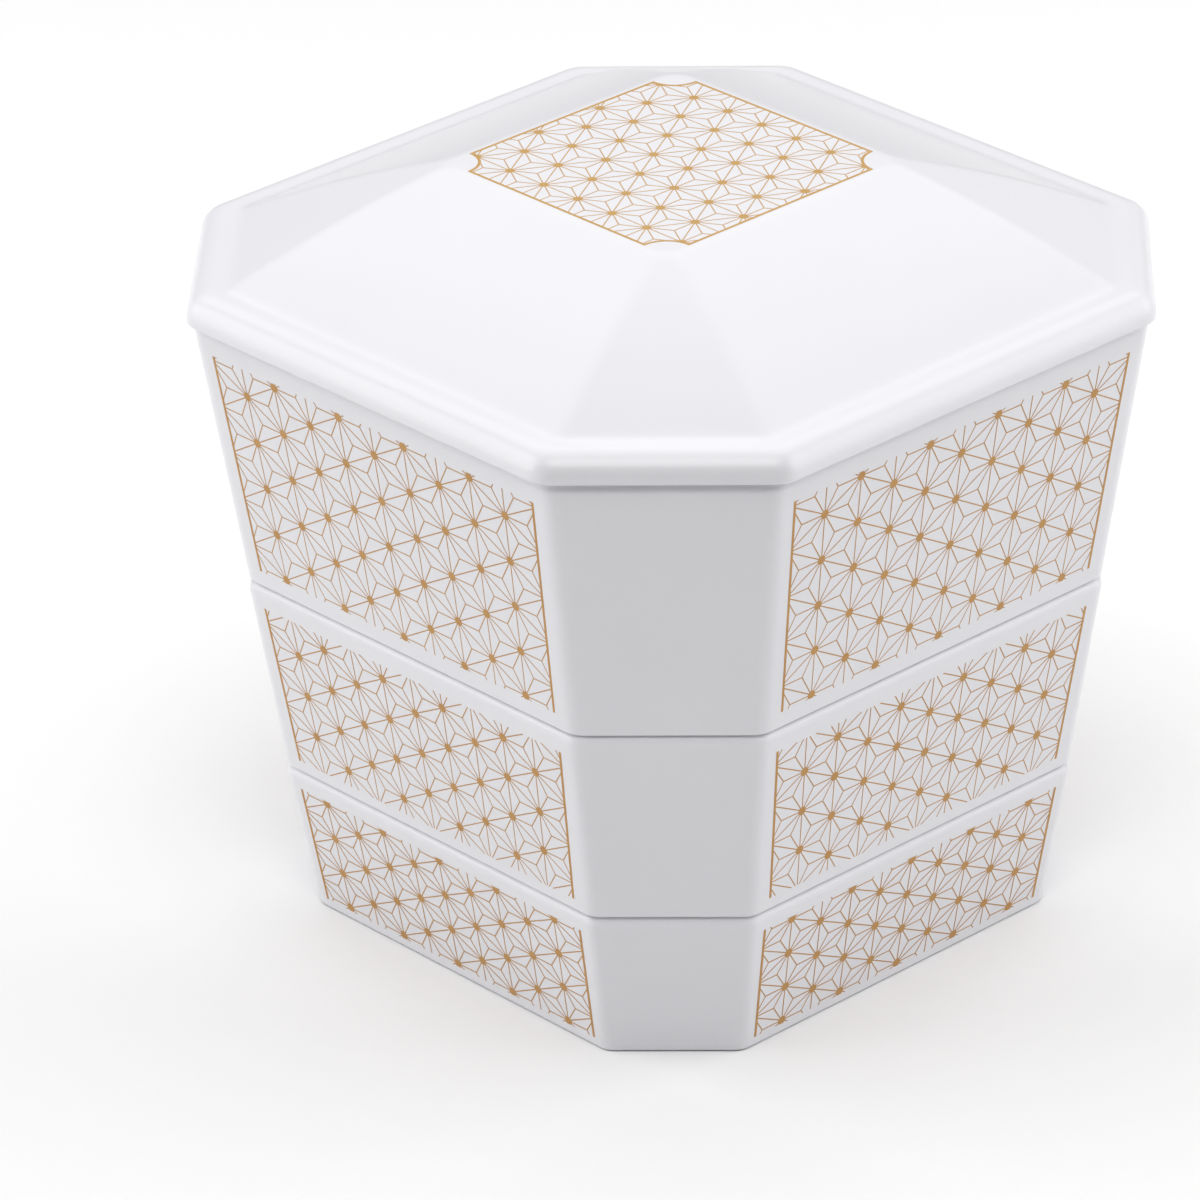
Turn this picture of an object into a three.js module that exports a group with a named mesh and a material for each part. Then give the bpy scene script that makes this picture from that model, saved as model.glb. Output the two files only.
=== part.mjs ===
// A stacking food box: three tapering eight-sided porcelain tiers under a faceted lid.
// Millimetres, +Z up, origin under the middle of the bottom tier.
// The broad faces look along X and Y, and the narrow corner faces look along the diagonals.
import * as THREE from 'three';

// Plan of every level: a square whose corners are cut off at 45 degrees
const cornerReach = 14.5; // how much further out the corner faces lie than the broad faces
const insideEdgeRadius = 7; // upright edges between the faces, inside
const edgeSteps = 3; // straight steps in each rounded upright edge

// Tiers, from the table up
const baseHalf = 74.5; // bottom tier at the table, from the axis to a broad face
const bottomHeight = 40;
const bottomDraft = 9.8; // outward lean of the walls, in degrees
const bottomEdgeRadius = 4.5; // upright edges between the faces, outside
const middleHeight = 52;
const middleDraft = 8.4;
const middleEdgeRadius = 5.2;
const topHeight = 70;
const topDraft = 8.5;
const topEdgeRadius = 6.5;
const rimProud = 0.45; // each rim stands out past the foot of the tier above it

// Walls and edges of a tier
const wall = 4.5; // measured level, across the wall
const floorThickness = 5;
const floorFillet = 6;
const rimOutsideRadius = 2.5;
const rimInsideRadius = 1.2;
const footEdgeRadius = 0.9;
const roundSteps = 4; // straight steps in each of these small rounds

// Seats: a ring under each piece drops into the mouth below
const seatGap = 0.3; // left between a rim and the piece that stands on it
const locatingDrop = 4;
const locatingGap = 0.6; // between the ring and the mouth
const ringWidth = 5;
const footRecess = 1.5; // hollow under the floor, inside the ring
const restingWidth = 9; // flat resting ring under the bottom tier, from its lower edge inwards

// Lid
const lidOverhang = 2.4; // past the top tier's rim, at the broad faces
const lidCornerReach = 13.6; // the lid's own cornerReach, outside
const lidCornerRadius = 8; // upright edges of its rim
const ridgeRadius = 4.5; // ridges between the facets of its dome
const lidLowerRadius = 0.5; // lower edge of its rim
const lidEdgeHeight = 2.3; // top of the upright outer edge, above that lower edge
const lidEdgeRadius = 4.5; // round over it
const bandWidth = 10.2; // from the outer edge in to the crease at the foot of the dome
const bandSlope = 1.5; // rise of that band, in degrees
const domeRise = 22.4; // plateau above the crease
const domeSwell = 0.25; // how far the facets swell above a straight slope, as a share of the rise
const domeSteps = 6;
const plateauHalf = 39.1; // flat square top, from the axis to its side
const plateauCorner = 4; // width of the small corner cut of the plateau
const lidWall = 4.5; // measured upright, through the dome

const porcelain = { color: 0xf3f2f4, roughness: 0.18, metalness: 0 };

const radians = THREE.MathUtils.degToRad;
const tan = (degrees) => Math.tan(radians(degrees));

// One level of a piece: half is how far out its broad faces lie,
// and reach how much further out its corner faces lie.
const level = (half, z, edgeRadius, reach = cornerReach) => ({ half, z, edgeRadius, reach });

// The outline of one level as a closed ring, with the same count of points at every level.
function outline({ half, z, edgeRadius, reach }) {
  const faceEnd = Math.SQRT2 * (half + reach) - half; // half the length of a broad face
  const origin = new THREE.Vector2();
  const corners = [];
  for (let quarter = 0; quarter < 4; quarter += 1) {
    for (const end of [-faceEnd, faceEnd]) {
      corners.push(new THREE.Vector2(half, end).rotateAround(origin, (quarter * Math.PI) / 2));
    }
  }
  const shortest = Math.min(corners[0].distanceTo(corners[1]), corners[1].distanceTo(corners[2]));
  const cut = Math.min(edgeRadius * tan(22.5), 0.45 * shortest); // from a sharp corner to its round
  return corners.flatMap((corner, i) => {
    const towards = (other) => other.clone().sub(corner).setLength(cut).add(corner);
    const start = towards(corners.at(i - 1));
    const end = towards(corners[(i + 1) % corners.length]);
    const round = new THREE.QuadraticBezierCurve(start, corner, end).getPoints(edgeSteps);
    return round.map((p) => new THREE.Vector3(p.x, p.y, z));
  });
}

// A closed skin over a run of levels, with a flat face at the first and the last.
function loft(levels) {
  const rings = levels.map(outline);
  const count = rings[0].length;
  const points = rings.flat();
  const index = [];
  for (let row = 0; row + 1 < rings.length; row += 1) {
    for (let i = 0; i < count; i += 1) {
      const a = row * count + i;
      const b = row * count + ((i + 1) % count);
      index.push(a, b, b + count, a, b + count, a + count);
    }
  }
  const lastRow = (rings.length - 1) * count;
  const firstMiddle = points.push(new THREE.Vector3(0, 0, levels[0].z)) - 1;
  const lastMiddle = points.push(new THREE.Vector3(0, 0, levels.at(-1).z)) - 1;
  for (let i = 0; i < count; i += 1) {
    const j = (i + 1) % count;
    index.push(firstMiddle, j, i);
    index.push(lastMiddle, lastRow + i, lastRow + j);
  }
  const geometry = new THREE.BufferGeometry().setFromPoints(points);
  geometry.setIndex(index);
  geometry.computeVertexNormals();
  return geometry;
}

// A small round in the wall's section, as levels between two headings in degrees.
function roundedEdge(half, z, radius, from, to, edgeRadius, reach) {
  const arc = new THREE.EllipseCurve(half, z, radius, radius, radians(from), radians(to), to < from);
  return arc.getPoints(roundSteps).map((p) => level(p.x, p.y, edgeRadius, reach));
}

// The sizes of a tier that its neighbours need too.
function tierSizes(footHalf, footZ, height, draft, edgeRadius) {
  const rimHalf = footHalf + height * tan(draft);
  return { footHalf, footZ, draft, edgeRadius, rimHalf, rimZ: footZ + height, mouthHalf: rimHalf - wall };
}

// The ring that drops into a tier's mouth, seen in section from its inner edge to the seat.
function locatingRing(mouth, seatZ) {
  const outer = mouth.mouthHalf - locatingDrop * tan(mouth.draft) - locatingGap;
  const lowZ = seatZ - locatingDrop;
  return [
    level(outer - ringWidth, lowZ, insideEdgeRadius),
    level(outer - footEdgeRadius, lowZ, insideEdgeRadius),
    level(outer, lowZ + footEdgeRadius, insideEdgeRadius),
    level(outer, seatZ, insideEdgeRadius),
  ];
}

// A tier: the hollow under its floor, its foot, the wall outside, the rim, the wall inside and the floor.
function tierBody(tier, foot) {
  const { footHalf, footZ, rimHalf, rimZ, mouthHalf, draft, edgeRadius } = tier;
  const recess = level(foot[0].half - footRecess, foot[0].z + footRecess, insideEdgeRadius);
  const floorZ = recess.z + floorThickness;
  const floorHalf = mouthHalf - (rimZ - floorZ) * tan(draft);
  const blunt = tan(45 - draft / 2); // how far a round of radius 1 cuts back an edge wider than square
  const keen = tan(45 + draft / 2); // the same for an edge narrower than square
  const footRound = [footHalf - footEdgeRadius * blunt, footZ + footEdgeRadius, footEdgeRadius];
  const rimRound = [rimHalf - rimOutsideRadius * keen, rimZ - rimOutsideRadius, rimOutsideRadius];
  const lipRound = [mouthHalf + rimInsideRadius * blunt, rimZ - rimInsideRadius, rimInsideRadius];
  const floorRound = [floorHalf - floorFillet * blunt, floorZ + floorFillet, floorFillet];
  return loft([
    recess,
    ...foot,
    ...roundedEdge(...footRound, -90, -draft, edgeRadius),
    ...roundedEdge(...rimRound, -draft, 90, edgeRadius),
    ...roundedEdge(...lipRound, 90, 180 - draft, insideEdgeRadius),
    ...roundedEdge(...floorRound, -draft, -90, insideEdgeRadius),
  ]);
}

// Swelling facets from an eight-sided level up to a nearly square one.
function dome(foot, crown) {
  const levels = [];
  for (let step = 0; step <= domeSteps; step += 1) {
    const t = step / domeSteps;
    const between = (key) => THREE.MathUtils.lerp(foot[key], crown[key], t);
    const z = foot.z + (crown.z - foot.z) * (t + domeSwell * t * (1 - t));
    levels.push(level(between('half'), z, foot.edgeRadius, between('reach')));
  }
  return levels;
}

// The lid: the ceiling from its crown down, the locating ring, the outer edge, the band and the dome.
function lidBody(mouth) {
  const lowZ = mouth.rimZ + seatGap;
  const outer = mouth.rimHalf + lidOverhang;
  const lowerRound = [outer - lidLowerRadius, lowZ + lidLowerRadius, lidLowerRadius];
  const bullnose = [outer - lidEdgeRadius, lowZ + lidEdgeHeight, lidEdgeRadius];
  const slope = radians(bandSlope);
  const bandRise = (bandWidth - lidEdgeRadius * (1 - Math.sin(slope))) * Math.tan(slope);
  const creaseZ = lowZ + lidEdgeHeight + lidEdgeRadius * Math.cos(slope) + bandRise;
  const plateauReach = (Math.SQRT2 - 1) * plateauHalf - plateauCorner / 2;
  const crease = level(outer - bandWidth, creaseZ, ridgeRadius, lidCornerReach);
  const plateau = level(plateauHalf, creaseZ + domeRise, ridgeRadius, plateauReach);
  const ring = locatingRing(mouth, lowZ);
  const spring = level(ring[0].half, creaseZ - lidWall, insideEdgeRadius);
  const ceiling = level(plateauHalf, plateau.z - lidWall, insideEdgeRadius, plateauReach);
  return loft([
    ...dome(spring, ceiling).reverse(),
    ...ring,
    ...roundedEdge(...lowerRound, -90, 0, lidCornerRadius, lidCornerReach),
    ...roundedEdge(...bullnose, 0, 90 - bandSlope, lidCornerRadius, lidCornerReach),
    ...dome(crease, plateau),
  ]);
}

function piece(name, geometry) {
  const mesh = new THREE.Mesh(geometry, new THREE.MeshStandardMaterial(porcelain));
  mesh.name = name;
  return mesh;
}

const bottom = tierSizes(baseHalf, 0, bottomHeight, bottomDraft, bottomEdgeRadius);
const middleFoot = [bottom.rimHalf - rimProud, bottom.rimZ + seatGap];
const middle = tierSizes(...middleFoot, middleHeight, middleDraft, middleEdgeRadius);
const topFoot = [middle.rimHalf - rimProud, middle.rimZ + seatGap];
const top = tierSizes(...topFoot, topHeight, topDraft, topEdgeRadius);
const restingRing = [level(baseHalf - restingWidth, bottom.footZ, insideEdgeRadius)];

const box = new THREE.Group();
box.add(piece('bottom_tier', tierBody(bottom, restingRing)));
box.add(piece('middle_tier', tierBody(middle, locatingRing(bottom, middle.footZ))));
box.add(piece('top_tier', tierBody(top, locatingRing(middle, top.footZ))));
box.add(piece('lid', lidBody(top)));

export default box;
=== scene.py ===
# A white porcelain stacking box with a gold hemp-leaf print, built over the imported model.
import math
import bpy
from mathutils import Matrix, Vector


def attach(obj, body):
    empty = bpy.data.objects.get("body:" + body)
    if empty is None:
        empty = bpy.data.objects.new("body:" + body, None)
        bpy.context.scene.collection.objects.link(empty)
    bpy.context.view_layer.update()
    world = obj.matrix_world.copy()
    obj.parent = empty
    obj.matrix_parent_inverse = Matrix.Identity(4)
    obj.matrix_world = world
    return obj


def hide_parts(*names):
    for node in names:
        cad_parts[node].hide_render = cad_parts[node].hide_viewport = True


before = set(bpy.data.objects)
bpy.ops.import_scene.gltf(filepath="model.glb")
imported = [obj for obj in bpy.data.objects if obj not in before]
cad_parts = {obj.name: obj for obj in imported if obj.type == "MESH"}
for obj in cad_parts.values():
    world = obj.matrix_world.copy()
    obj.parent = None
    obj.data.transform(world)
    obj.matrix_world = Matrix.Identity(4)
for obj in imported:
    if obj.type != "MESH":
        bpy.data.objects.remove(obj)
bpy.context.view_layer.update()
scene = bpy.context.scene
mm = 0.001
eighth = math.radians(45)      # turn from one face to the next

# Sizes that every piece shares, in millimetres, and how finely its rounds are cut
stack = {
    "cornerReach": 14.5,       # the corner faces lie this much further out than the broad faces
    "wall": 4.5,
    "floor": 5.0,
    "floorFillet": 6.0,
    "rimProud": 0.45,          # each rim stands past the foot above it
    "seatGap": 0.3,
    "footLip": 0.22,           # the outer edge of a foot hangs this far below its seat, down to the rim
    "ringDrop": 4.0,           # the locating ring goes this far into the mouth below
    "ringGap": 0.6,            # between the ring and that mouth
    "ringWidth": 5.0,
    "recess": 1.5,             # hollow under each floor
    "insideEdge": 7.0,         # radius of the upright edges, inside
    "cornerSteps": 8,          # in each rounded upright edge
    "filletTurn": 9.0,         # degrees between the rows of a round in the section
    "fewestSteps": 3,
    "hold": 0.3,               # a narrow strip beside each round keeps the flats flat
    "holdShare": 0.25,         # left out where it would take this much of a side
    "holdSpare": 1.2,          # strips that a corner face keeps between its upright rounds
    "shortest": 0.001,         # every side counts as at least this long
    "capShare": 0.85,          # inner outline of a flat cap, before it closes on the axis
    "sideShare": 0.88,         # a round takes no more than this of the side beside it
    "weld": 0.001,             # points of a skin closer than this become one
}


# Small helpers for node trees

def wire(tree, socket, value):
    if isinstance(value, bpy.types.NodeSocket):
        tree.links.new(value, socket)
    else:
        socket.default_value = value


def put(tree, kind, inputs=(), **settings):
    node = tree.nodes.new(kind)
    for name, value in settings.items():
        setattr(node, name, value)
    for name, value in dict(inputs).items():
        wire(tree, node.inputs[name], value)
    return node


def made(tree, kind, inputs=(), output="Geometry", **settings):
    return put(tree, kind, inputs, **settings).outputs[output]


def calc(tree, operation, *values):
    node = put(tree, "ShaderNodeMath", operation=operation)
    for socket, value in zip(node.inputs, values):
        wire(tree, socket, value)
    return node.outputs["Value"]


def vecCalc(tree, operation, first, second=None):
    node = put(tree, "ShaderNodeVectorMath", operation=operation)
    wire(tree, node.inputs[0], first)
    if second is not None:
        wire(tree, node.inputs["Scale" if operation == "SCALE" else 1], second)
    return node.outputs["Value" if operation in ("LENGTH", "DISTANCE") else "Vector"]


def combine(tree, x, y, z):
    return put(tree, "ShaderNodeCombineXYZ", {"X": x, "Y": y, "Z": z}).outputs["Vector"]


def newTree(name, inputs):
    tree = bpy.data.node_groups.new(name, "GeometryNodeTree")
    tree.interface.new_socket("Geometry", in_out="OUTPUT", socket_type="NodeSocketGeometry")
    for label, kind in inputs.items():
        tree.interface.new_socket(label, in_out="INPUT", socket_type="NodeSocket" + kind)
    return tree, tree.nodes.new("NodeGroupInput").outputs


def endTree(tree, geometry, material):
    real = made(tree, "GeometryNodeRealizeInstances", {"Geometry": geometry})
    dressed = made(tree, "GeometryNodeSetMaterial", {"Geometry": real, "Material": material})
    put(tree, "NodeGroupOutput", {"Geometry": dressed})


def helperObject(name, vertices, edges=(), faces=()):
    mesh = bpy.data.meshes.new(name)
    mesh.from_pydata(vertices, edges, faces)
    helper = bpy.data.objects.new(name, mesh)
    scene.collection.objects.link(helper)
    return helper


# Runs a tree on an empty mesh and keeps the result as a plain mesh object at the origin.
def bakeTree(name, tree, values):
    holder = helperObject(name + "Nodes", [])
    modifier = holder.modifiers.new("shape", "NODES")
    modifier.node_group = tree
    for item in tree.interface.items_tree:
        if item.in_out == "INPUT":
            modifier[item.identifier] = values[item.name]
    depsgraph = bpy.context.evaluated_depsgraph_get()
    mesh = bpy.data.meshes.new_from_object(holder.evaluated_get(depsgraph), depsgraph=depsgraph)
    bpy.data.objects.remove(holder)
    mesh.name = name
    piece = bpy.data.objects.new(name, mesh)
    scene.collection.objects.link(piece)
    return piece


# Materials
glazeLook = {
    "white": (0.80, 0.795, 0.825, 1),
    "shade": (0.785, 0.78, 0.812, 1),
    "clay": (0.66, 0.62, 0.57, 1),
    "ior": 1.5,
    "pools": 38.0,             # scale of its thicker and thinner places
    "poolDetail": 3.0,
    "gloss": (0.26, 0.34),     # roughness across those places
    "clayRoughness": 0.75,
    "peel": 420.0,             # scale of its fine unevenness
    "peelDetail": 2.0,
    "peelBump": 0.05,
    "peelDepth": 0.0002,
}
goldLook = {
    "metallic": 0.25,
    "patches": 160.0,          # scale of its brighter and deeper places
    "patchDetail": 4.0,
    "gloss": (0.34, 0.5),
    "grain": 2600.0,
    "grainDetail": 2.0,
    "grainBump": 0.15,
    "grainDepth": 0.00005,
}
tierGold = {"bright": (0.54, 0.29, 0.08, 1), "deep": (0.46, 0.235, 0.06, 1)}
lidGoldPaintedSheen = {"bright": (0.64, 0.39, 0.125, 1), "deep": (0.55, 0.32, 0.095, 1)}    # painted sheen: a lighter, more orange gold for the light that the lid's flat top catches at a grazing view


def newMaterial(name):
    material = bpy.data.materials.new(name)
    material.use_nodes = True
    return material, material.node_tree, material.node_tree.nodes["Principled BSDF"]


def noise(tree, place, scale, detail):
    return made(tree, "ShaderNodeTexNoise", {"Vector": place, "Scale": scale, "Detail": detail}, "Fac")


# Mixes two colours: inputs 6 and 7 and output 2 are the colour sockets of a mix node.
def blend(tree, factor, first, second):
    node = put(tree, "ShaderNodeMix", {"Factor": factor}, data_type="RGBA")
    wire(tree, node.inputs[6], first)
    wire(tree, node.inputs[7], second)
    return node.outputs[2]


def spread(tree, factor, ends):
    low, high = ends
    return made(tree, "ShaderNodeMapRange", {"Value": factor, "To Min": low, "To Max": high}, "Result")


def bumped(tree, shader, height, strength, depth):
    inputs = {"Height": height, "Strength": strength, "Distance": depth}
    wire(tree, shader.inputs["Normal"], made(tree, "ShaderNodeBump", inputs, "Normal"))


def glazeMaterial(look):
    material, tree, shader = newMaterial("porcelainGlaze")
    wire(tree, shader.inputs["IOR"], look["ior"])
    place = made(tree, "ShaderNodeTexCoord", output="Object")
    pooled = noise(tree, place, look["pools"], look["poolDetail"])
    bare = made(tree, "ShaderNodeAttribute", output="Fac", attribute_name="bareClay")
    white = blend(tree, pooled, look["white"], look["shade"])
    wire(tree, shader.inputs["Base Color"], blend(tree, bare, white, look["clay"]))
    rough = put(tree, "ShaderNodeMix", {"Factor": bare}, data_type="FLOAT")
    wire(tree, rough.inputs[2], spread(tree, pooled, look["gloss"]))
    wire(tree, rough.inputs[3], look["clayRoughness"])
    wire(tree, shader.inputs["Roughness"], rough.outputs[0])
    peel = noise(tree, place, look["peel"], look["peelDetail"])
    bumped(tree, shader, peel, look["peelBump"], look["peelDepth"])
    return material


def goldMaterial(name, look, coat):
    material, tree, shader = newMaterial(name)
    wire(tree, shader.inputs["Metallic"], look["metallic"])
    place = made(tree, "ShaderNodeTexCoord", output="Object")
    patches = noise(tree, place, look["patches"], look["patchDetail"])
    wire(tree, shader.inputs["Base Color"], blend(tree, patches, coat["bright"], coat["deep"]))
    wire(tree, shader.inputs["Roughness"], spread(tree, patches, look["gloss"]))
    grain = noise(tree, place, look["grain"], look["grainDetail"])
    bumped(tree, shader, grain, look["grainBump"], look["grainDepth"])
    return material


porcelainGlaze = glazeMaterial(glazeLook)
goldPrint = goldMaterial("goldPrint", goldLook, tierGold)
# the lid's print gets the lighter gold, a painted sheen of the lid's top
lidPrintPaintedSheen = goldMaterial("lidPrintPaintedSheen", goldLook, lidGoldPaintedSheen)
print("materials made")


# Sections: each piece is one run of rows from the axis, round its wall and back to the axis.
# A row has its fillet in the section, its upright edges' radius, and pinch, which draws it in to the axis.
rowMeasures = ("half", "z", "edge", "reach", "bare", "pinch")


def row(half, z, fillet, edge, reach=stack["cornerReach"], bare=0.0):
    return {"half": half, "z": z, "fillet": fillet, "edge": edge, "reach": reach, "bare": bare,
            "pinch": 1.0, "smooth": False}


def onSection(r):
    return Vector((r["half"] * r["pinch"], r["z"]))


def between(a, b, share):
    return {**a, **{key: a[key] + (b[key] - a[key]) * share for key in rowMeasures}}


def filletRows(before, here, after):
    if here["fillet"] == 0:
        return [here]
    point = onSection(here)
    back = onSection(before) - point
    ahead = onSection(after) - point
    turn = math.pi - back.angle(ahead)
    cut = min(here["fillet"] * math.tan(turn / 2), stack["sideShare"] * min(back.length, ahead.length))
    radius = cut / math.tan(turn / 2)
    centre = point + (back.normalized() + ahead.normalized()).normalized() * radius / math.cos(turn / 2)
    start = point + back.normalized() * cut - centre
    end = point + ahead.normalized() * cut - centre
    first = between(here, before, cut / back.length)
    last = between(here, after, cut / ahead.length)
    steps = max(stack["fewestSteps"], round(math.degrees(turn) / stack["filletTurn"]))
    rows = []
    for step in range(steps + 1):
        share = step / steps
        arm = (start * math.sin((1 - share) * turn) + end * math.sin(share * turn)) / math.sin(turn)
        placed = {"half": centre.x + arm.x, "z": centre.y + arm.y, "bare": here["bare"]}
        rows.append({**between(first, last, share), **placed})
    return rows


# Closes a flat face: a smaller copy of its outline, then the axis.
def axisRows(edge):
    inner = {**edge, "fillet": 0.0, "smooth": False}
    for key in ("half", "reach", "edge"):
        inner[key] = edge[key] * stack["capShare"]
    return [inner, {**inner, "pinch": 0.0}]


# The largest upright round that still fits on the narrow corner face of a row, beside its held strips
def edgeLimit(r):
    cornerFace = (math.sqrt(2) - 1) * r["half"] - r["reach"]
    return (cornerFace - stack["holdSpare"] * stack["hold"]) / math.tan(eighth / 2)


def sectionRows(corners):
    rounded = [corners[0]]
    for before, here, after in zip(corners, corners[1:], corners[2:]):
        rounded += filletRows(before, here, after)
    rounded.append(corners[-1])
    rows = [rounded[0]]
    for a, b in zip(rounded, rounded[1:]):
        length = max((onSection(b) - onSection(a)).length, stack["shortest"])
        share = stack["hold"] / length
        if share < stack["holdShare"] and not (a["smooth"] and b["smooth"]):
            rows += [between(a, b, share), between(a, b, 1 - share)]
        rows.append(b)
    return rows


def sectionObject(name, corners):
    rows = sectionRows(corners)
    vertices = [(r["half"] * mm, 0, r["z"] * mm) for r in rows]
    helper = helperObject(name, vertices, [(i, i + 1) for i in range(len(rows) - 1)])
    columns = {
        "edgeRadius": [min(r["edge"], edgeLimit(r)) * mm for r in rows],
        "cornerReach": [r["reach"] * mm for r in rows],
        "pinch": [r["pinch"] for r in rows],
        "bareClay": [r["bare"] for r in rows],
    }
    for label, values in columns.items():
        helper.data.attributes.new(label, "FLOAT", "POINT").data.foreach_set("value", values)
    return helper


# Lofts a section round the axis as an eight-sided outline with rounded edges.
def loftTree():
    tree, given = newTree("eightSidedLoft", {
        "Section": "Object", "Corner Steps": "Int", "Hold": "Float", "Finish": "Material"})
    corners = 8.0
    extraPoints = 3.0          # an arc has one point more than steps, and a held strip at each end
    section = made(tree, "GeometryNodeObjectInfo", {"Object": given["Section"]})
    rows = made(tree, "GeometryNodeAttributeDomainSize", {"Geometry": section}, "Point Count")
    perCorner = calc(tree, "ADD", given["Corner Steps"], extraPoints)
    around = calc(tree, "MULTIPLY_ADD", perCorner, corners, 1.0)
    grid = made(tree, "GeometryNodeMeshGrid", {"Vertices X": rows, "Vertices Y": around}, "Mesh")
    index = made(tree, "GeometryNodeInputIndex", output="Index")
    middle = calc(tree, "ADD", index, 0.5)
    rowIndex = calc(tree, "FLOOR", calc(tree, "DIVIDE", middle, around))
    column = calc(tree, "SUBTRACT", index, calc(tree, "MULTIPLY", rowIndex, around))
    corner = calc(tree, "FLOOR", calc(tree, "DIVIDE", calc(tree, "ADD", column, 0.5), perCorner))
    local = calc(tree, "SUBTRACT", column, calc(tree, "MULTIPLY", corner, perCorner))

    def clamped(value):
        return made(tree, "ShaderNodeClamp", {"Value": value}, "Result")

    def atRow(value, kind="FLOAT"):
        inputs = {"Geometry": section, "Value": value, "Index": rowIndex}
        return made(tree, "GeometryNodeSampleIndex", inputs, "Value", data_type=kind)

    def sampled(label):
        return atRow(made(tree, "GeometryNodeInputNamedAttribute", {"Name": label}, "Attribute"))

    def heading(angle):
        return calc(tree, "COSINE", angle), calc(tree, "SINE", angle)

    # Which way a point lies from its corner, and whether it ends a held strip
    arc = clamped(calc(tree, "DIVIDE", calc(tree, "SUBTRACT", local, 1.0), given["Corner Steps"]))
    beyond = clamped(calc(tree, "SUBTRACT", calc(tree, "SUBTRACT", local, given["Corner Steps"]), 1.0))
    side = calc(tree, "SUBTRACT", beyond, clamped(calc(tree, "SUBTRACT", 1.0, local)))
    face = calc(tree, "ADD", calc(tree, "SUBTRACT", corner, 1.0), arc)
    cosine, sine = heading(calc(tree, "MULTIPLY", face, eighth))
    normal = combine(tree, cosine, sine, 0.0)
    tangent = combine(tree, calc(tree, "MULTIPLY", sine, -1.0), cosine, 0.0)

    # The sharp corner of an even outline, and the way it moves when the corner faces lie further out
    cosine, sine = heading(calc(tree, "MULTIPLY_ADD", corner, eighth, -eighth / 2))
    sharp = vecCalc(tree, "SCALE", combine(tree, cosine, sine, 0.0), 1 / math.cos(eighth / 2))
    quarter = calc(tree, "FLOOR", calc(tree, "DIVIDE", corner, 2.0))
    odd = calc(tree, "SUBTRACT", corner, calc(tree, "MULTIPLY", quarter, 2.0))
    quarterTurns = calc(tree, "ADD", quarter, calc(tree, "MULTIPLY_ADD", odd, 2.0, -1.0))
    cosine, sine = heading(calc(tree, "MULTIPLY", quarterTurns, 2 * eighth))
    outward = combine(tree, cosine, sine, 0.0)

    place = made(tree, "GeometryNodeInputPosition", output="Position")
    split = put(tree, "ShaderNodeSeparateXYZ", {"Vector": atRow(place, "FLOAT_VECTOR")}).outputs
    radius = sampled("edgeRadius")
    reach = calc(tree, "MULTIPLY", sampled("cornerReach"), math.sqrt(2))
    strip = calc(tree, "MULTIPLY", side, given["Hold"])
    flat = vecCalc(tree, "SCALE", sharp, calc(tree, "SUBTRACT", split["X"], radius))
    flat = vecCalc(tree, "ADD", flat, vecCalc(tree, "SCALE", outward, reach))
    flat = vecCalc(tree, "ADD", flat, vecCalc(tree, "SCALE", normal, radius))
    flat = vecCalc(tree, "ADD", flat, vecCalc(tree, "SCALE", tangent, strip))
    flat = vecCalc(tree, "SCALE", flat, sampled("pinch"))
    position = vecCalc(tree, "ADD", flat, combine(tree, 0.0, 0.0, split["Z"]))
    skin = made(tree, "GeometryNodeSetPosition", {"Geometry": grid, "Position": position})
    skin = made(tree, "GeometryNodeStoreNamedAttribute", {
        "Geometry": skin, "Name": "bareClay", "Value": sampled("bareClay")})
    skin = made(tree, "GeometryNodeMergeByDistance", {"Geometry": skin, "Distance": stack["weld"] * mm})
    skin = made(tree, "GeometryNodeSetShadeSmooth", {"Geometry": skin})
    endTree(tree, skin, given["Finish"])
    return tree


eightSidedLoft = loftTree()


def shellPiece(name, node, corners):
    section = sectionObject(name + "Section", corners)
    piece = bakeTree(name, eightSidedLoft, {
        "Section": section, "Corner Steps": stack["cornerSteps"], "Hold": stack["hold"] * mm,
        "Finish": porcelainGlaze})
    bpy.data.objects.remove(section)
    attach(piece, node)
    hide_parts(node)


# Tiers, from the table up: draft is the outward lean of the walls in degrees,
# and edge the radius of the upright edges outside
bottomTier = {
    "node": "bottom_tier",
    "footHalf": 74.5,
    "height": 40.0,
    "draft": 9.8,
    "edge": 4.5,
    "restWidth": 9.0,          # flat ring that it stands on, from its lower edge inwards
}
middleTier = {"node": "middle_tier", "height": 52.0, "draft": 8.4, "edge": 5.2}
topTier = {"node": "top_tier", "height": 70.0, "draft": 8.5, "edge": 6.5}
tierRounds = {
    "foot": 0.5,
    "rimOutside": 2.5,
    "rimInside": 1.2,
    "ring": 0.9,
    "ringInside": 0.45,
    "seat": 0.4,
}


def stackTiers():
    below = None
    for tier in (bottomTier, middleTier, topTier):
        if below:
            tier["footHalf"] = below["rimHalf"] - stack["rimProud"]
        tier["footZ"] = below["rimZ"] + stack["seatGap"] if below else 0.0
        tier["slope"] = math.tan(math.radians(tier["draft"]))
        tier["rimHalf"] = tier["footHalf"] + tier["height"] * tier["slope"]
        tier["rimZ"] = tier["footZ"] + tier["height"]
        tier["below"] = below
        below = tier


# The ring that drops into the mouth of the tier below, from its inner edge to the seat
def ringRows(mouth, seatZ):
    outer = mouth["rimHalf"] - stack["wall"] - stack["ringDrop"] * mouth["slope"] - stack["ringGap"]
    lowZ = seatZ - stack["ringDrop"]
    inside = stack["insideEdge"]
    return [
        row(outer - stack["ringWidth"], lowZ, tierRounds["ringInside"], inside, bare=1.0),
        row(outer, lowZ, tierRounds["ring"], inside, bare=1.0),
        row(outer, seatZ, tierRounds["seat"], inside),
    ]


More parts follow.
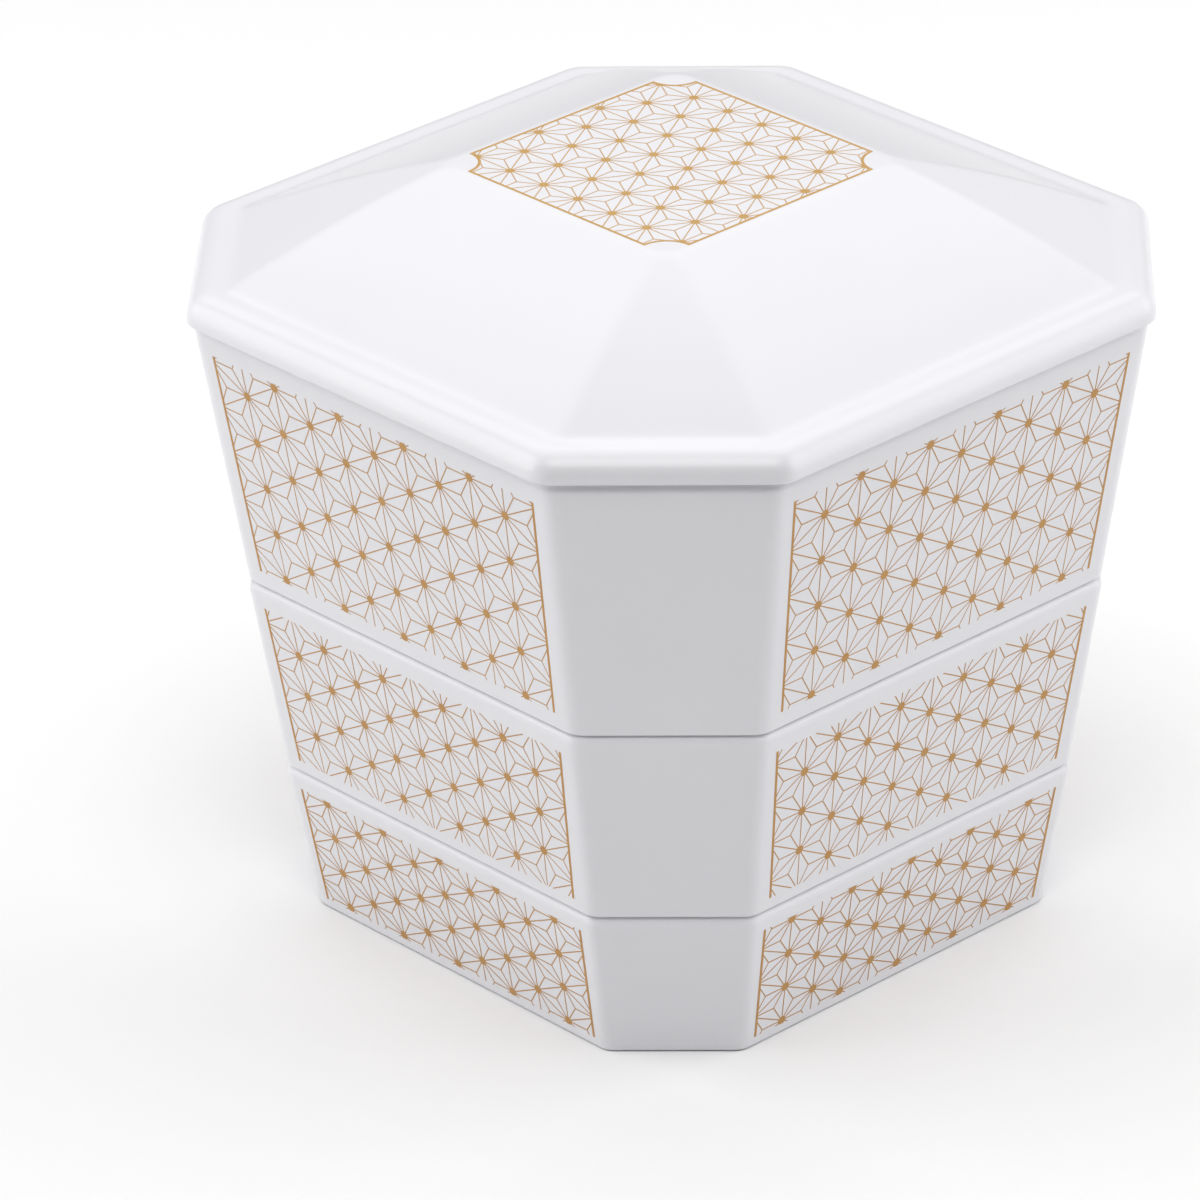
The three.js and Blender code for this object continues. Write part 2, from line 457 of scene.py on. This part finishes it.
def tierCorners(tier):
    inside = stack["insideEdge"]
    if tier["below"]:
        foot = ringRows(tier["below"], tier["footZ"])
        lipZ = tier["footZ"] - stack["footLip"]
    else:
        restHalf = tier["footHalf"] - tier["restWidth"]
        foot = [row(restHalf, tier["footZ"], tierRounds["ringInside"], inside, bare=1.0)]
        lipZ = tier["footZ"]
    recessZ = foot[0]["z"] + stack["recess"]
    floorZ = recessZ + stack["floor"]
    mouth = tier["rimHalf"] - stack["wall"]
    recess = row(foot[0]["half"] - stack["recess"], recessZ, stack["recess"], inside)
    floor = row(mouth - (tier["rimZ"] - floorZ) * tier["slope"], floorZ, stack["floorFillet"], inside)
    return [
        *axisRows(recess)[::-1],
        recess,
        *foot,
        row(tier["footHalf"], lipZ, tierRounds["foot"], tier["edge"]),
        row(tier["rimHalf"], tier["rimZ"], tierRounds["rimOutside"], tier["edge"]),
        row(mouth, tier["rimZ"], tierRounds["rimInside"], inside),
        floor,
        *axisRows(floor),
    ]


stackTiers()
shellPiece("bottomTierShell", "bottom_tier", tierCorners(bottomTier))
shellPiece("middleTierShell", "middle_tier", tierCorners(middleTier))
shellPiece("topTierShell", "top_tier", tierCorners(topTier))
print("tiers made")

# Lid
lid = {
    "overhang": 2.4,           # past the rim of the top tier
    "reach": 13.6,             # its own cornerReach, outside
    "edge": 8.0,               # radius of the upright edges of its rim
    "lowerRadius": 0.5,
    "edgeHeight": 0.5,         # upright part of its rim
    "edgeRadius": 6.4,         # round over that
    "bandWidth": 10.2,         # from the rim in to the crease at the foot of the dome
    "bandSlope": 0.5,          # rise of that band, in degrees
    "creaseFillet": 5.0,
    "domeRise": 22.4,
    "swell": 0.25,             # of the facets above a straight slope, as a share of the rise
    "domeSteps": 18,
    "ridgeEdge": 4.5,          # radius of the ridges between the facets
    "plateauHalf": 39.1,       # flat square top
    "plateauCorner": 4.0,      # width of its small corner cut
    "plateauFillet": 9.2,
    "wall": 4.5,               # measured upright, through the dome
    "springFillet": 2.0,       # inside, where the dome meets the ring
    "ceilingFillet": 4.0,
    "ceilingEdge": 4.0,
}


def domeRows(foot, crown):
    rows = []
    for step in range(lid["domeSteps"] + 1):
        t = step / lid["domeSteps"]
        swollen = t + lid["swell"] * t * (1 - t)
        z = foot["z"] + (crown["z"] - foot["z"]) * swollen
        rows.append({**between(foot, crown, t), "z": z, "fillet": 0.0, "smooth": True})
    rows[0]["fillet"] = foot["fillet"]
    rows[-1]["fillet"] = crown["fillet"]
    return rows


def lidCorners():
    inside = stack["insideEdge"]
    lowZ = topTier["rimZ"] + stack["seatGap"]
    outer = topTier["rimHalf"] + lid["overhang"]
    slope = math.radians(lid["bandSlope"])
    sinSlope, cosSlope = math.sin(slope), math.cos(slope)
    shoulderZ = lowZ + lid["edgeHeight"] + lid["edgeRadius"] * math.tan((math.pi / 2 - slope) / 2)
    bandRise = (lid["bandWidth"] - lid["edgeRadius"] * (1 - sinSlope)) * sinSlope / cosSlope
    creaseZ = lowZ + lid["edgeHeight"] + lid["edgeRadius"] * cosSlope + bandRise
    topZ = creaseZ + lid["domeRise"]
    plateauReach = (math.sqrt(2) - 1) * lid["plateauHalf"] - lid["plateauCorner"] / 2
    ring = ringRows(topTier, lowZ)
    crease = row(outer - lid["bandWidth"], creaseZ, lid["creaseFillet"], lid["ridgeEdge"], lid["reach"])
    plateau = row(lid["plateauHalf"], topZ, lid["plateauFillet"], lid["ridgeEdge"], plateauReach)
    spring = row(ring[0]["half"], creaseZ - lid["wall"], lid["springFillet"], inside)
    ceilingZ = topZ - lid["wall"]
    ceiling = row(lid["plateauHalf"], ceilingZ, lid["ceilingFillet"], lid["ceilingEdge"], plateauReach)
    lid["topZ"] = topZ
    return [
        *axisRows(ceiling)[::-1],
        *domeRows(spring, ceiling)[::-1],
        *ring,
        row(outer, lowZ, lid["lowerRadius"], lid["edge"], lid["reach"]),
        row(outer, shoulderZ, lid["edgeRadius"], lid["edge"], lid["reach"]),
        *domeRows(crease, plateau),
        *axisRows(plateau),
    ]


shellPiece("lidShell", "lid", lidCorners())
print("lid made")


# Gold print: a hemp-leaf lattice on the broad faces and on the lid's flat top.
# Each panel is drawn flat, u across and s up, then laid on its face.
hempLeaf = {
    "columns": 15,             # more of both than any panel shows
    "rows": 9,
    "blotSides": 12,
    "sink": 0.03,              # below the glaze
    "proud": 0.05,             # above it
    "blotSink": 0.8,           # shares of these two where ink gathers
    "blotProud": 1.1,
    "netWeld": 0.01,           # joins the triangles of the lattice, in steps of its rows
    "weld": 0.002,             # joins the drawn lines
}
# Half is from the middle to the last column at the height firstZ, taper is how fast the sides come in
# on the way down, step lies between rows, and a panel goes from one row to another, counted from firstZ.
topTier["print"] = {
    "half": 56.4, "taper": 0.0664, "firstZ": 154.53, "step": 12.593, "from": -0.09, "to": 4.58}
middleTier["print"] = {
    "half": 52.69, "taper": 0.0792, "firstZ": 82.14, "step": 11.398, "from": -0.35, "to": 3.4}
bottomTier["print"] = {
    "half": 50.26, "taper": 0.0575, "firstZ": 28.97, "step": 10.157, "from": -0.57, "to": 2.6}
tierPanel = {
    "faces": 4,
    "columnsAcross": 10,
    "middleRow": 2,            # the row at the middle of the drawn lattice
    "share": 0.98,             # the borders lie just inside the last columns
}
lid["print"] = {"half": 37.3, "corner": 7.3, "cornerSteps": 10, "columnStep": 10.1, "rowStep": 11.7}
# Widths of the drawn lines and of the border, and the radius of the ink that gathers where lines meet
tierPen = {"line": 0.28, "border": 0.72, "blot": 1.2, "ink": goldPrint}
lidPen = {"line": 0.26, "border": 0.7, "blot": 1.15, "ink": lidPrintPaintedSheen}


# The lines of a triangular lattice whose triangles are each cut in three, thickened and cut to a panel
def hempLeafTree():
    lengths = ("Column Step", "Row Step", "Row Shift", "Taper", "Line", "Blot", "Sink", "Proud")
    tree, given = newTree("hempLeafPrint", {
        "Panel": "Object", "Border": "Object", "Columns": "Int", "Rows": "Int", "Blot Sides": "Int",
        **{label: "Float" for label in lengths},
        "Copies": "Int", "Tilt": "Vector", "Place": "Vector", "Finish": "Material"})
    unit = math.sqrt(3) / 2    # between the columns of a lattice whose rows are 1 apart
    position = made(tree, "GeometryNodeInputPosition", output="Position")
    index = made(tree, "GeometryNodeInputIndex", output="Index")

    def moved(geometry, offset):
        return made(tree, "GeometryNodeSetPosition", {"Geometry": geometry, "Offset": offset})

    def placed(geometry, where):
        return made(tree, "GeometryNodeSetPosition", {"Geometry": geometry, "Position": where})

    def copied(points, instance, turn=(0, 0, 0)):
        inputs = {"Points": points, "Instance": instance, "Rotation": turn}
        return made(tree, "GeometryNodeInstanceOnPoints", inputs, "Instances")

    def realized(instances):
        return made(tree, "GeometryNodeRealizeInstances", {"Geometry": instances})

    def joined(*parts):
        node = put(tree, "GeometryNodeJoinGeometry")
        for part in parts:
            tree.links.new(part, node.inputs["Geometry"])
        return node.outputs["Geometry"]

    def merged(geometry, distance=hempLeaf["weld"] * mm):
        return made(tree, "GeometryNodeMergeByDistance", {"Geometry": geometry, "Distance": distance})

    def combined(operation, *solids):
        node = put(tree, "GeometryNodeMeshBoolean", operation=operation, solver="MANIFOLD")
        for solid in solids:
            tree.links.new(solid, node.inputs["Mesh 2"])
        return node.outputs["Mesh"]

    def thickened(flat, low, high):
        base = moved(flat, combine(tree, 0.0, 0.0, calc(tree, "MULTIPLY", low, -1.0)))
        upward = combine(tree, 0.0, 0.0, 1.0)
        walls = made(tree, "GeometryNodeExtrudeMesh", {
            "Mesh": base, "Offset": upward, "Offset Scale": calc(tree, "ADD", low, high),
            "Individual": False}, "Mesh")
        flipped = made(tree, "GeometryNodeFlipFaces", {"Mesh": base}, "Mesh")
        return merged(joined(walls, flipped))

    # Lattice points, with every other column half a step up
    rowsLess = calc(tree, "SUBTRACT", given["Rows"], 1.0)
    across = calc(tree, "MULTIPLY", calc(tree, "SUBTRACT", given["Columns"], 1.0), unit)
    grid = made(tree, "GeometryNodeMeshGrid", {
        "Size X": across, "Size Y": rowsLess,
        "Vertices X": given["Columns"], "Vertices Y": given["Rows"]}, "Mesh")
    column = calc(tree, "FLOOR", calc(tree, "DIVIDE", calc(tree, "ADD", index, 0.5), given["Rows"]))
    odd = calc(tree, "MODULO", column, 2.0)
    points = moved(grid, combine(tree, 0.0, calc(tree, "MULTIPLY", odd, 0.5), 0.0))

    # Two triangles for each point, each a fan of three
    fan = made(tree, "GeometryNodeMeshCircle", {
        "Vertices": 3, "Radius": 1 / math.sqrt(3)}, "Mesh", fill_type="TRIANGLE_FAN")
    halves = []
    for offset, turn in (((unit / 3, 0.5, 0), 0), ((2 * unit / 3, 0, 0), math.pi)):
        halves.append(realized(copied(moved(points, offset), fan, (0, 0, turn))))
    net = merged(joined(*halves), hempLeaf["netWeld"])

    # To the panel's own steps and taper
    flat = put(tree, "ShaderNodeSeparateXYZ", {"Vector": position}).outputs
    s = calc(tree, "MULTIPLY_ADD", flat["Y"], given["Row Step"], given["Row Shift"])
    widening = calc(tree, "MULTIPLY_ADD", s, given["Taper"], 1.0)
    columns = calc(tree, "DIVIDE", flat["X"], unit)
    u = calc(tree, "MULTIPLY", calc(tree, "MULTIPLY", columns, given["Column Step"]), widening)
    warped = combine(tree, u, s, 0.0)
    disc = made(tree, "GeometryNodeMeshCircle", {
        "Vertices": given["Blot Sides"], "Radius": given["Blot"]}, "Mesh", fill_type="NGON")
    blots = realized(copied(placed(points, warped), disc))

    # Each small triangle is opened up to half a line width from its sides, about its incentre.
    net = put(tree, "GeometryNodeExtrudeMesh", {
        "Mesh": placed(net, warped), "Offset Scale": 0.0, "Individual": True}).outputs
    corners = []
    for order in range(3):
        corner = made(tree, "GeometryNodeCornersOfFace", {"Sort Index": order}, "Corner Index")
        vertex = made(tree, "GeometryNodeVertexOfCorner", {"Corner Index": corner}, "Vertex Index")
        corners.append(made(tree, "GeometryNodeFieldAtIndex", {
            "Value": position, "Index": vertex}, "Value", domain="POINT", data_type="FLOAT_VECTOR"))
    sides = [vecCalc(tree, "DISTANCE", corners[order - 2], corners[order - 1]) for order in range(3)]
    around = calc(tree, "ADD", calc(tree, "ADD", sides[0], sides[1]), sides[2])
    weighted = [vecCalc(tree, "SCALE", place, side) for place, side in zip(corners, sides)]
    total = vecCalc(tree, "ADD", vecCalc(tree, "ADD", weighted[0], weighted[1]), weighted[2])
    incentre = vecCalc(tree, "SCALE", total, calc(tree, "DIVIDE", 1.0, around))
    arms = [vecCalc(tree, "SUBTRACT", corners[order], corners[0]) for order in (1, 2)]
    doubleArea = vecCalc(tree, "LENGTH", vecCalc(tree, "CROSS_PRODUCT", *arms))
    inradius = calc(tree, "DIVIDE", doubleArea, around)
    halfLine = calc(tree, "MULTIPLY", given["Line"], 0.5)
    opening = calc(tree, "SUBTRACT", 1.0, calc(tree, "DIVIDE", halfLine, inradius))
    opened = made(tree, "GeometryNodeScaleElements", {
        "Geometry": net["Mesh"], "Selection": net["Top"], "Scale": opening, "Center": incentre})
    lines = made(tree, "GeometryNodeDeleteGeometry", {
        "Geometry": opened, "Selection": net["Top"]}, domain="FACE")

    # Thickened, cut to the panel, with its border, and laid on every face that has it
    panel = made(tree, "GeometryNodeObjectInfo", {"Object": given["Panel"]})
    border = made(tree, "GeometryNodeObjectInfo", {"Object": given["Border"]})
    thick = calc(tree, "ADD", given["Sink"], given["Proud"])
    blotSink = calc(tree, "MULTIPLY", given["Sink"], hempLeaf["blotSink"])
    blotProud = calc(tree, "MULTIPLY", given["Proud"], hempLeaf["blotProud"])
    lines = thickened(merged(lines), given["Sink"], given["Proud"])
    inked = combined("UNION", lines, thickened(blots, blotSink, blotProud))
    cut = combined("INTERSECT", inked, thickened(panel, thick, thick))
    drawn = combined("UNION", cut, thickened(border, given["Sink"], given["Proud"]))
    laid = made(tree, "GeometryNodeTransform", {
        "Geometry": drawn, "Rotation": given["Tilt"], "Translation": given["Place"]})
    stand = made(tree, "GeometryNodeMeshLine", {"Count": given["Copies"], "Offset": (0, 0, 0)}, "Mesh")
    turn = combine(tree, 0.0, 0.0, calc(tree, "MULTIPLY", index, 2 * eighth))
    endTree(tree, copied(stand, laid, turn), given["Finish"])
    return tree


hempLeafPrint = hempLeafTree()


# A flat strip along a run of points, mitred where it turns
def stripObject(name, runs, closed, width):
    vertices = []
    faces = []
    reach = width / 2
    for run in runs:
        first = len(vertices)
        count = len(run)
        for i, point in enumerate(run):
            before = run[i - 1] if i or closed else point * 2 - run[i + 1]
            after = run[(i + 1) % count] if i + 1 < count or closed else point * 2 - before
            ahead = (after - point).normalized()
            normal = ((point - before).normalized() + ahead).normalized().orthogonal()
            mitre = reach / normal.dot(ahead.orthogonal())
            vertices += [(*(point + normal * side * mitre) * mm, 0) for side in (-1, 1)]
        for i in range(count if closed else count - 1):
            a = first + 2 * i
            b = first + 2 * ((i + 1) % count)
            faces.append((a, b, b + 1, a + 1))
    return helperObject(name, vertices, faces=faces)


def printPiece(name, node, outline, runs, closed, pen, layout):
    vertices = [(*point * mm, 0) for point in outline]
    panel = helperObject(name + "Panel", vertices, faces=[range(len(vertices))])
    border = stripObject(name + "Border", runs, closed, pen["border"])
    piece = bakeTree(name, hempLeafPrint, {
        "Panel": panel,
        "Border": border,
        "Columns": hempLeaf["columns"],
        "Rows": hempLeaf["rows"],
        "Blot Sides": hempLeaf["blotSides"],
        "Blot": pen["blot"] * mm,
        "Line": pen["line"] * mm,
        "Sink": hempLeaf["sink"] * mm,
        "Proud": hempLeaf["proud"] * mm,
        "Finish": pen["ink"],
        **layout,
    })
    bpy.data.objects.remove(panel)
    bpy.data.objects.remove(border)
    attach(piece, node)


def tierPrint(name, tier):
    drawn = tier["print"]
    lean = math.radians(tier["draft"])
    step = drawn["step"] / math.cos(lean)
    taper = drawn["taper"] * math.cos(lean) / drawn["half"]

    def sidePoint(side, j):
        return Vector((side * tierPanel["share"] * drawn["half"] * (1 - taper * step * j), -step * j))

    left = [sidePoint(-1, drawn["to"]), sidePoint(-1, drawn["from"])]
    right = [sidePoint(1, drawn["to"]), sidePoint(1, drawn["from"])]
    outline = [left[0], right[0], right[1], left[1]]
    faceHalf = tier["footHalf"] + (drawn["firstZ"] - tier["footZ"]) * tier["slope"]
    printPiece(name, tier["node"], outline, [left, right], False, tierPen, {
        "Column Step": 2 * drawn["half"] / tierPanel["columnsAcross"] * mm,
        "Row Step": step * mm,
        "Row Shift": -tierPanel["middleRow"] * step * mm,
        "Taper": taper / mm,
        "Copies": tierPanel["faces"],
        "Tilt": (math.pi / 2 + lean, 0, 0),
        "Place": (0, -faceHalf * mm, drawn["firstZ"] * mm),
    })


def lidPrint(name):
    drawn = lid["print"]
    outline = []
    for quarter in range(4):
        spin = Matrix.Rotation(quarter * math.pi / 2, 2)
        for step in range(drawn["cornerSteps"] + 1):
            angle = -math.pi / 2 * (1 + step / drawn["cornerSteps"])
            hollow = Vector((math.cos(angle), math.sin(angle))) * drawn["corner"]
            outline.append(spin @ (Vector((drawn["half"], drawn["half"])) + hollow))
    printPiece(name, "lid", outline, [outline], True, lidPen, {
        "Column Step": drawn["columnStep"] * mm,
        "Row Step": drawn["rowStep"] * mm,
        "Row Shift": 0.0,
        "Taper": 0.0,
        "Copies": 1,
        "Tilt": (0, 0, -math.pi / 2),
        "Place": (0, 0, lid["topZ"] * mm),
    })


tierPrint("bottomTierPrint", bottomTier)
tierPrint("middleTierPrint", middleTier)
tierPrint("topTierPrint", topTier)
lidPrint("lidPrint")
print("gold print made")

# Camera, fitted to the photograph in a frame of 1200 by 1200 pixels
photoView = {
    "frame": 1200,
    "focal": 7752.6,
    "sensorWidth": 36,
    "azimuth": 47.11,
    "elevation": 27.095,
    "roll": -1.155,
    "distance": 1894.2,
    "aside": -18.88,
    "aimZ": 75.65,
}


def makeCamera():
    a = math.radians(photoView["azimuth"])
    e = math.radians(photoView["elevation"])
    r = math.radians(photoView["roll"])
    back = Vector((math.sin(a) * math.cos(e), -math.cos(a) * math.cos(e), math.sin(e)))
    level = Vector((math.cos(a), math.sin(a), 0))
    upright = back.cross(level)
    right = level * math.cos(r) + upright * math.sin(r)
    up = upright * math.cos(r) - level * math.sin(r)
    aim = level * photoView["aside"] * mm + Vector((0, 0, photoView["aimZ"] * mm))
    data = bpy.data.cameras.new("photoCamera")
    data.sensor_fit = "HORIZONTAL"
    data.sensor_width = photoView["sensorWidth"]
    data.lens = data.sensor_width * photoView["focal"] / photoView["frame"]
    camera = bpy.data.objects.new("photoCamera", data)
    scene.collection.objects.link(camera)
    turned = Matrix((right, up, back)).transposed().to_4x4()
    camera.matrix_world = Matrix.Translation(aim + back * photoView["distance"] * mm) @ turned
    scene.camera = camera


makeCamera()

# Floor and light
studio = {
    "floorSize": 12.0,
    "floorDrop": 0.0003,
    "floorWhite": (0.9, 0.9, 0.9, 1),
    "floorRoughness": 0.8,
    "worldWhite": (1, 1, 1, 1),
    "worldStrength": 0.06,
    "lightAim": Vector((0, 0, 0.1)),
}
# Soft lights: turn is measured round the object from the camera's side, in degrees
lamps = {
    "leftLight": {"turn": -92, "away": 1.5, "height": 0.8, "size": 1.6, "power": 16.1},
    "rightLight": {"turn": 92, "away": 1.5, "height": 0.8, "size": 1.6, "power": 14.8},
    "frontLight": {"turn": 0, "away": 0.9, "height": 1.8, "size": 1.3, "power": 16.5},
    "backLight": {"turn": 180, "away": 0.9, "height": 1.7, "size": 2.2, "power": 15.9},
    "leftBackLight": {"turn": -130, "away": 1.5, "height": 0.8, "size": 1.6, "power": 2.1},
    "rightBackLight": {"turn": 130, "away": 1.5, "height": 0.8, "size": 1.6, "power": 3.1},
}


def makeFloor():
    half = studio["floorSize"] / 2
    z = -studio["floorDrop"]
    corners = [(-half, -half, z), (half, -half, z), (half, half, z), (-half, half, z)]
    floor = helperObject("floor", corners, faces=[(0, 1, 2, 3)])
    material, tree, shader = newMaterial("paleFloor")
    wire(tree, shader.inputs["Base Color"], studio["floorWhite"])
    wire(tree, shader.inputs["Roughness"], studio["floorRoughness"])
    floor.data.materials.append(material)


def softLight(name, lamp):
    data = bpy.data.lights.new(name, "AREA")
    data.shape = "DISK"
    data.size = lamp["size"]
    data.energy = lamp["power"]
    light = bpy.data.objects.new(name, data)
    angle = math.radians(photoView["azimuth"] + lamp["turn"])
    light.location = (math.sin(angle) * lamp["away"], -math.cos(angle) * lamp["away"], lamp["height"])
    light.rotation_euler = (studio["lightAim"] - light.location).to_track_quat("-Z", "Y").to_euler()
    light.visible_camera = False
    scene.collection.objects.link(light)


def makeWorld():
    world = bpy.data.worlds.new("studioWorld")
    world.use_nodes = True
    background = world.node_tree.nodes["Background"]
    background.inputs["Color"].default_value = studio["worldWhite"]
    background.inputs["Strength"].default_value = studio["worldStrength"]
    scene.world = world
    scene.view_settings.view_transform = "Standard"


makeFloor()
for lampName, lamp in lamps.items():
    softLight(lampName, lamp)
makeWorld()
print("camera, floor and light made")
